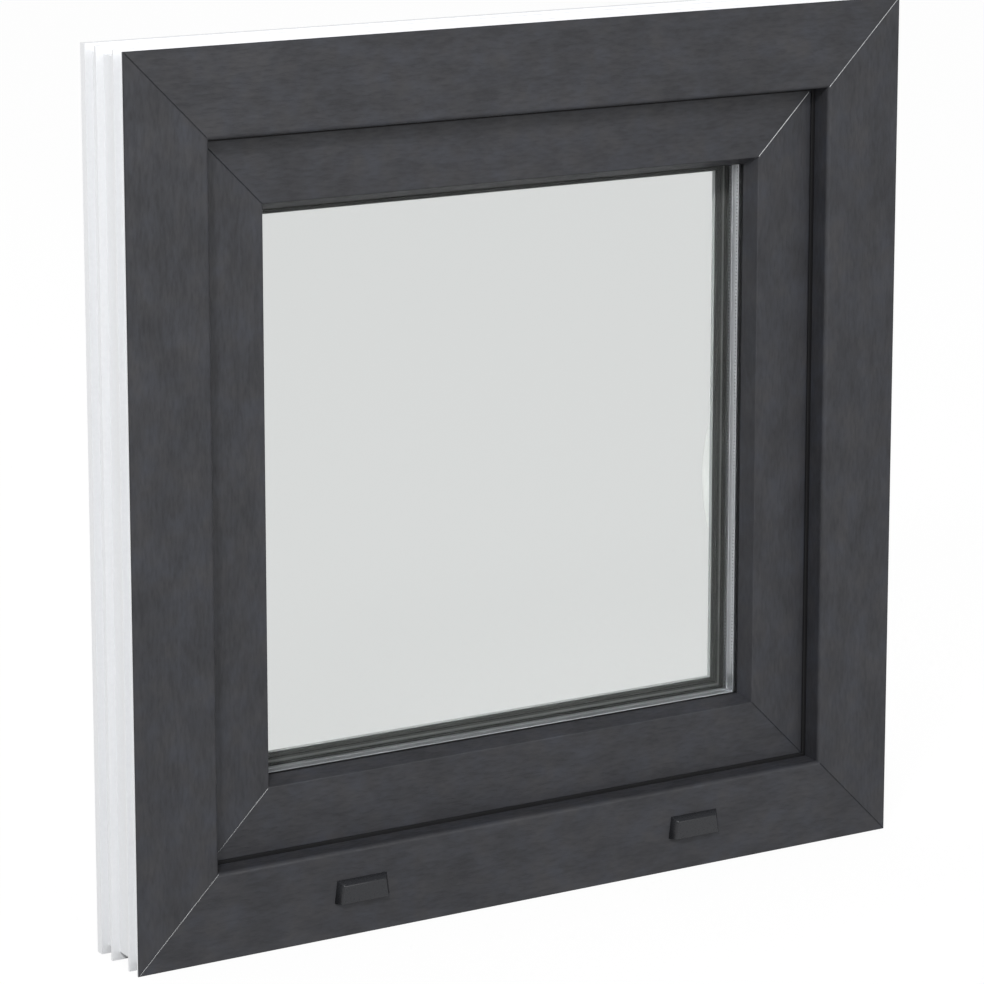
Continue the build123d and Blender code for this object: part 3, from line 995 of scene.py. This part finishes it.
@dataclass
class DrainCaps(Assembly):
    """The two hoods over the sill's drain slots."""

    offset: float = 0.1335
    bottom: float = 0.0240
    base: HoodOutline = HoodOutline(0.0420, 0.0380, 0.0155)
    front: HoodOutline = HoodOutline(0.0350, 0.0310, 0.0125)
    depth: float = 0.0050
    edge: float = 0.0011
    edge_angle: float = 20.0
    edge_segments: int = 3
    wall: float = 0.0012
    turn_in: float = 0.0004
    turn_up: float = 0.0002

    def hood(self, name: str, x: float) -> bpy.types.Object:
        """Make one hood: a tapered shell that is open below and at its back.

        Args:
            name: The object's name.
            x: Its place along the sill.

        Returns:
            The hood.
        """
        points: list[Point] = []
        for outline, y, lift in (
            (self.base, self.opening.outer_face, 0.0),
            (self.front, self.opening.outer_face - self.depth, self.turn_up),
        ):
            low, high = self.bottom + lift, self.bottom + outline.height
            points += [
                (x - outline.low / 2, y, low), (x + outline.low / 2, y, low),
                (x + outline.high / 2, y, high), (x - outline.high / 2, y, high),
            ]
        share = self.turn_in / self.depth
        half = (self.front.low * (1 - share) + self.base.low * share) / 2
        back = self.opening.outer_face - self.depth + self.turn_in
        points += [(x - half, back, self.bottom), (x + half, back, self.bottom)]
        faces = [(4, 5, 6, 7), (3, 7, 6, 2), (0, 8, 4, 7, 3), (1, 2, 6, 5, 9), (8, 9, 5, 4)]
        piece = add_mesh(name, points, faces)
        rounding = piece.modifiers.new("rounded_edges", "BEVEL")
        rounding.width = self.edge
        rounding.segments = self.edge_segments
        rounding.limit_method = "ANGLE"
        rounding.angle_limit = math.radians(self.edge_angle)
        shell = piece.modifiers.new("wall", "SOLIDIFY")
        shell.thickness = self.wall
        shell.offset = -1.0
        return piece

    def build(self) -> None:
        """Make both hoods."""
        material = DARK_PLASTIC.material()
        for side, x in (("left", -self.offset), ("right", self.offset)):
            hood = self.hood(f"drain_hood_{side}", x)
            self.replace(hood, f"drain_cap_{side}", "drain_cap", material)


@dataclass
class Handle(Assembly):
    """The bowed lever on its base plate, on the room side of the right stile.

    The steps of the plate are (height above the sash, inset from its edge). Those of the collar
    and the neck are (height above the sash, radius).
    """

    x: float = 0.2330
    pivot: float = 0.3000
    plate_width: float = 0.0300
    plate_length: float = 0.0700
    plate_corner: float = 0.0140
    plate_steps: tuple[Pair, ...] = (
        (0.0, 0.0), (0.0050, 0.0003), (0.0072, 0.0007), (0.0083, 0.0014), (0.0088, 0.0023),
        (0.0090, 0.0035),
    )
    collar_steps: tuple[Pair, ...] = (
        (0.0088, 0.0120), (0.0090, 0.0118), (0.0104, 0.0116), (0.0109, 0.0110), (0.0110, 0.0102)
    )
    neck_steps: tuple[Pair, ...] = (
        (0.0108, 0.0094), (0.0120, 0.0090), (0.0170, 0.0084), (0.0220, 0.0084), (0.0270, 0.0084)
    )
    width: float = 0.0220
    thickness: float = 0.0125
    corner: float = 0.0045
    bow_radius: float = 0.09474
    bow_deep: float = -0.0136
    bow_middle: float = 0.2470
    top: float = 0.3080
    tip: float = 0.1800
    end_round: float = 0.0030
    end_shrink: float = 0.7
    path_steps: int = 44
    end_steps: int = 6
    plate_corner_steps: int = 12
    lever_corner_steps: int = 7
    turned_steps: int = 48

    def lathe(self, steps: tuple[Pair, ...], base: float) -> Solid:
        """Turn a profile about the handle's axis.

        Args:
            steps: The profile, as (height above the sash, radius).
            base: Y of the sash's room side.

        Returns:
            The points and the faces.
        """
        count = self.turned_steps
        rings = []
        for height, radius in steps:
            circle = arc((self.x, self.pivot), radius, 0.0, 360.0 * (count - 1) / count, count)
            rings.append([(x, base + height, z) for x, z in circle])
        return skin(rings)

    def plate(self, base: float) -> Solid:
        """Build the base plate as rounded rectangles that step in towards the top.

        Args:
            base: Y of the sash's room side.

        Returns:
            The points and the faces.
        """
        half = (self.plate_width / 2 - self.plate_corner, self.plate_length / 2 - self.plate_corner)
        rings = []
        for height, inset in self.plate_steps:
            outline = rounded_rectangle(
                (self.x, self.pivot), half, self.plate_corner - inset, self.plate_corner_steps
            )
            rings.append([(x, base + height, z) for x, z in outline])
        return skin(rings)

    def stations(self) -> list[Pair]:
        """Place the lever's sections: even ones along the bow and closer ones at its round ends.

        Returns:
            For each section, its angle on the bow and how far it shrinks.
        """
        start = math.asin((self.top - self.bow_middle) / self.bow_radius)
        stop = math.asin((self.tip - self.bow_middle) / self.bow_radius)
        turn = self.end_round / self.bow_radius
        quarter = [math.pi / 2 * i / self.end_steps for i in range(self.end_steps)]
        ease = [(turn * (1 - math.cos(a)), self.end_round * (1 - math.sin(a))) for a in quarter]
        first, last = start - turn, stop + turn
        pace = (last - first) / (self.path_steps - 1)
        return [
            *((start - step, shrink) for step, shrink in ease),
            *((first + pace * i, 0.0) for i in range(self.path_steps)),
            *((stop + step, shrink) for step, shrink in reversed(ease)),
        ]

    def lever(self) -> Solid:
        """Sweep the lever's rounded section along its bow.

        Returns:
            The points and the faces.
        """
        half = (self.width / 2 - self.corner, self.thickness / 2 - self.corner)
        rings = []
        for angle, shrink in self.stations():
            radius = self.corner - min(shrink, self.corner * self.end_shrink)
            section = rounded_rectangle((0.0, 0.0), half, radius, self.lever_corner_steps)
            rings.append([
                (
                    self.x + across,
                    self.bow_deep + (self.bow_radius + out) * math.cos(angle),
                    self.bow_middle + (self.bow_radius + out) * math.sin(angle),
                )
                for across, out in section
            ])
        return skin(rings)

    def build(self) -> None:
        """Make the base plate with its collar, and the lever with its neck."""
        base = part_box("handle_rosette")[0].y
        paint = PAINTED_METAL.material()
        plate = joined("handle_plate", [self.plate(base), self.lathe(self.collar_steps, base)])
        self.replace(plate, "handle_rosette", "handle", paint)
        lever = joined("handle_grip", [self.lever(), self.lathe(self.neck_steps, base)])
        self.replace(lever, "handle_lever", "handle", paint)


@dataclass
class Hinges(Assembly):
    """The two hinges on the room side of the left stile."""

    def build(self) -> None:
        """Dress the bearings and the pivots."""
        paint = PAINTED_METAL.material()
        for place in ("lower", "upper"):
            self.finish((f"{place}_hinge_bearing", f"{place}_hinge_pivot"), paint)


@dataclass(frozen=True)
class PhotoCamera:
    """A camera at the photograph's viewing angle."""

    position: Point = (-1.4533, -2.3319, 0.9121)
    yaw: float = 31.79
    pitch: float = 11.38
    focal_pixels: float = 4162.3
    image_pixels: float = 984.0
    sensor: float = 36.0
    shift_up: float = -0.12

    def build(self) -> None:
        """Make the camera and set it as the scene's."""
        data = bpy.data.cameras.new("photo_camera")
        data.sensor_width = self.sensor
        data.lens = self.focal_pixels * self.sensor / self.image_pixels
        data.shift_y = self.shift_up
        camera = bpy.data.objects.new("photo_camera", data)
        bpy.context.scene.collection.objects.link(camera)
        camera.location = self.position
        camera.rotation_euler = (math.radians(90 - self.pitch), 0.0, math.radians(-self.yaw))
        bpy.context.scene.camera = camera
        LOG.info("camera at %s", self.position)


@dataclass(frozen=True)
class Lamp:
    """A round soft lamp."""

    name: str
    place: Point
    size: float
    power: float

    def build(self, target: Point) -> None:
        """Hang the lamp and turn it to a point.

        Args:
            target: The point.
        """
        data = bpy.data.lights.new(self.name, "AREA")
        data.shape = "DISK"
        data.size = self.size
        data.energy = self.power
        lamp = bpy.data.objects.new(self.name, data)
        bpy.context.scene.collection.objects.link(lamp)
        lamp.location = self.place
        away = Vector(target) - Vector(self.place)
        lamp.rotation_euler = away.to_track_quat("-Z", "Y").to_euler()


@dataclass(frozen=True)
class Studio:
    """A white floor, a plain white surround and soft lamps.

    The floor and the surround have levels of their own for what glass and gloss show of them.
    """

    floor_size: float = 24.0
    floor_white: float = 0.4
    floor_lift: float = 0.85
    floor_glow: float = 1.10
    glass_glow: float = 0.86
    floor_mirror: float = 0.70
    world_level: float = 0.81
    mirror_level: float = 0.20
    target: Point = (0.0, 0.0, 0.3)
    lamps: tuple[Lamp, ...] = (
        Lamp("key", (-1.9, -2.05, 2.3), size=0.5, power=58.0),
        Lamp("front", (0.7, -3.6, 1.7), size=3.0, power=58.0),
        Lamp("room", (-1.0, 2.6, 1.4), size=1.4, power=18.0),
    )

    def seen_share(self, tree: bpy.types.NodeTree) -> Socket:
        """Tell the rays that show a surface to the camera, straight or by mirror or glass.

        Args:
            tree: The node tree of the floor or the world.

        Returns:
            1 for those rays, 0 for rays that only carry light.
        """
        path = tree.nodes.new("ShaderNodeLightPath")
        share = path.outputs["Is Camera Ray"]
        for name in ("Is Glossy Ray", "Is Transmission Ray"):
            both = tree.nodes.new("ShaderNodeMath")
            both.operation = "MAXIMUM"
            tree.links.new(share, both.inputs[0])
            tree.links.new(path.outputs[name], both.inputs[1])
            share = both.outputs[0]
        return share

    def build_floor(self) -> None:
        """Lay a white floor that keeps the window's shadow."""
        half = self.floor_size / 2
        mesh = bpy.data.meshes.new("floor")
        corners = [(-half, -half, 0.0), (half, -half, 0.0), (half, half, 0.0), (-half, half, 0.0)]
        mesh.from_pydata(corners, [], [(0, 1, 2, 3)])
        floor = bpy.data.objects.new("floor", mesh)
        bpy.context.scene.collection.objects.link(floor)
        shader = ShaderTree("floor_white")
        inputs = shader.shader.inputs
        inputs["Base Color"].default_value = (self.floor_white,) * 3 + (1.0,)
        inputs["Roughness"].default_value = 0.9
        inputs["Specular IOR Level"].default_value = 0.0
        glow = shader.tree.nodes.new("ShaderNodeEmission")
        glow.inputs["Color"].default_value = (1.0, 1.0, 1.0, 1.0)
        path = shader.tree.nodes.new("ShaderNodeLightPath")
        strength = shader.blend(path.outputs["Is Glossy Ray"], self.floor_glow, self.floor_mirror)
        strength = shader.blend(path.outputs["Is Transmission Ray"], strength, self.glass_glow)
        shader.feed(glow.inputs["Strength"], strength)
        mix = shader.tree.nodes.new("ShaderNodeMixShader")
        seen = shader.math("MULTIPLY", self.seen_share(shader.tree), self.floor_lift)
        shader.feed(mix.inputs[0], seen)
        shader.feed(mix.inputs[1], shader.shader.outputs["BSDF"])
        shader.feed(mix.inputs[2], glow.outputs["Emission"])
        shader.feed(shader.output.inputs["Surface"], mix.outputs["Shader"])
        mesh.materials.append(shader.material)

    def build_world(self) -> None:
        """Surround the scene with plain white, at lower levels where it lights or is mirrored."""
        world = bpy.data.worlds.new("surround")
        bpy.context.scene.world = world
        world.use_nodes = True
        tree = world.node_tree
        back = tree.nodes["Background"]
        back.inputs["Color"].default_value = (1.0, 1.0, 1.0, 1.0)
        path = tree.nodes.new("ShaderNodeLightPath")
        lit: Feed = self.world_level
        levels = (
            (self.seen_share(tree), 1.0),
            (path.outputs["Is Glossy Ray"], self.mirror_level),
        )
        for share, level in levels:
            mix = tree.nodes.new("ShaderNodeMix")
            mix.data_type = "FLOAT"
            tree.links.new(share, mix.inputs[0])
            if isinstance(lit, bpy.types.NodeSocket):
                tree.links.new(lit, mix.inputs[2])
            else:
                mix.inputs[2].default_value = lit
            mix.inputs[3].default_value = level
            lit = mix.outputs[0]
        tree.links.new(lit, back.inputs["Strength"])

    def build(self) -> None:
        """Make the floor, the surround and the lamps: key, broad front and room side."""
        self.build_floor()
        self.build_world()
        for lamp in self.lamps:
            lamp.build(self.target)
        LOG.info("studio built")


def main() -> None:
    """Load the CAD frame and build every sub-assembly."""
    logging.basicConfig(level=logging.INFO, format="%(name)s: %(message)s")
    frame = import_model()
    bpy.context.scene.view_settings.view_transform = "Standard"
    PhotoCamera().build()
    Studio().build()
    opening = Opening.measured()
    for assembly in (OuterFrame, Sash, Glazing, DrainCaps, Handle, Hinges):
        assembly(frame["nodes"], opening).build()


if __name__ == "__main__":
    main()
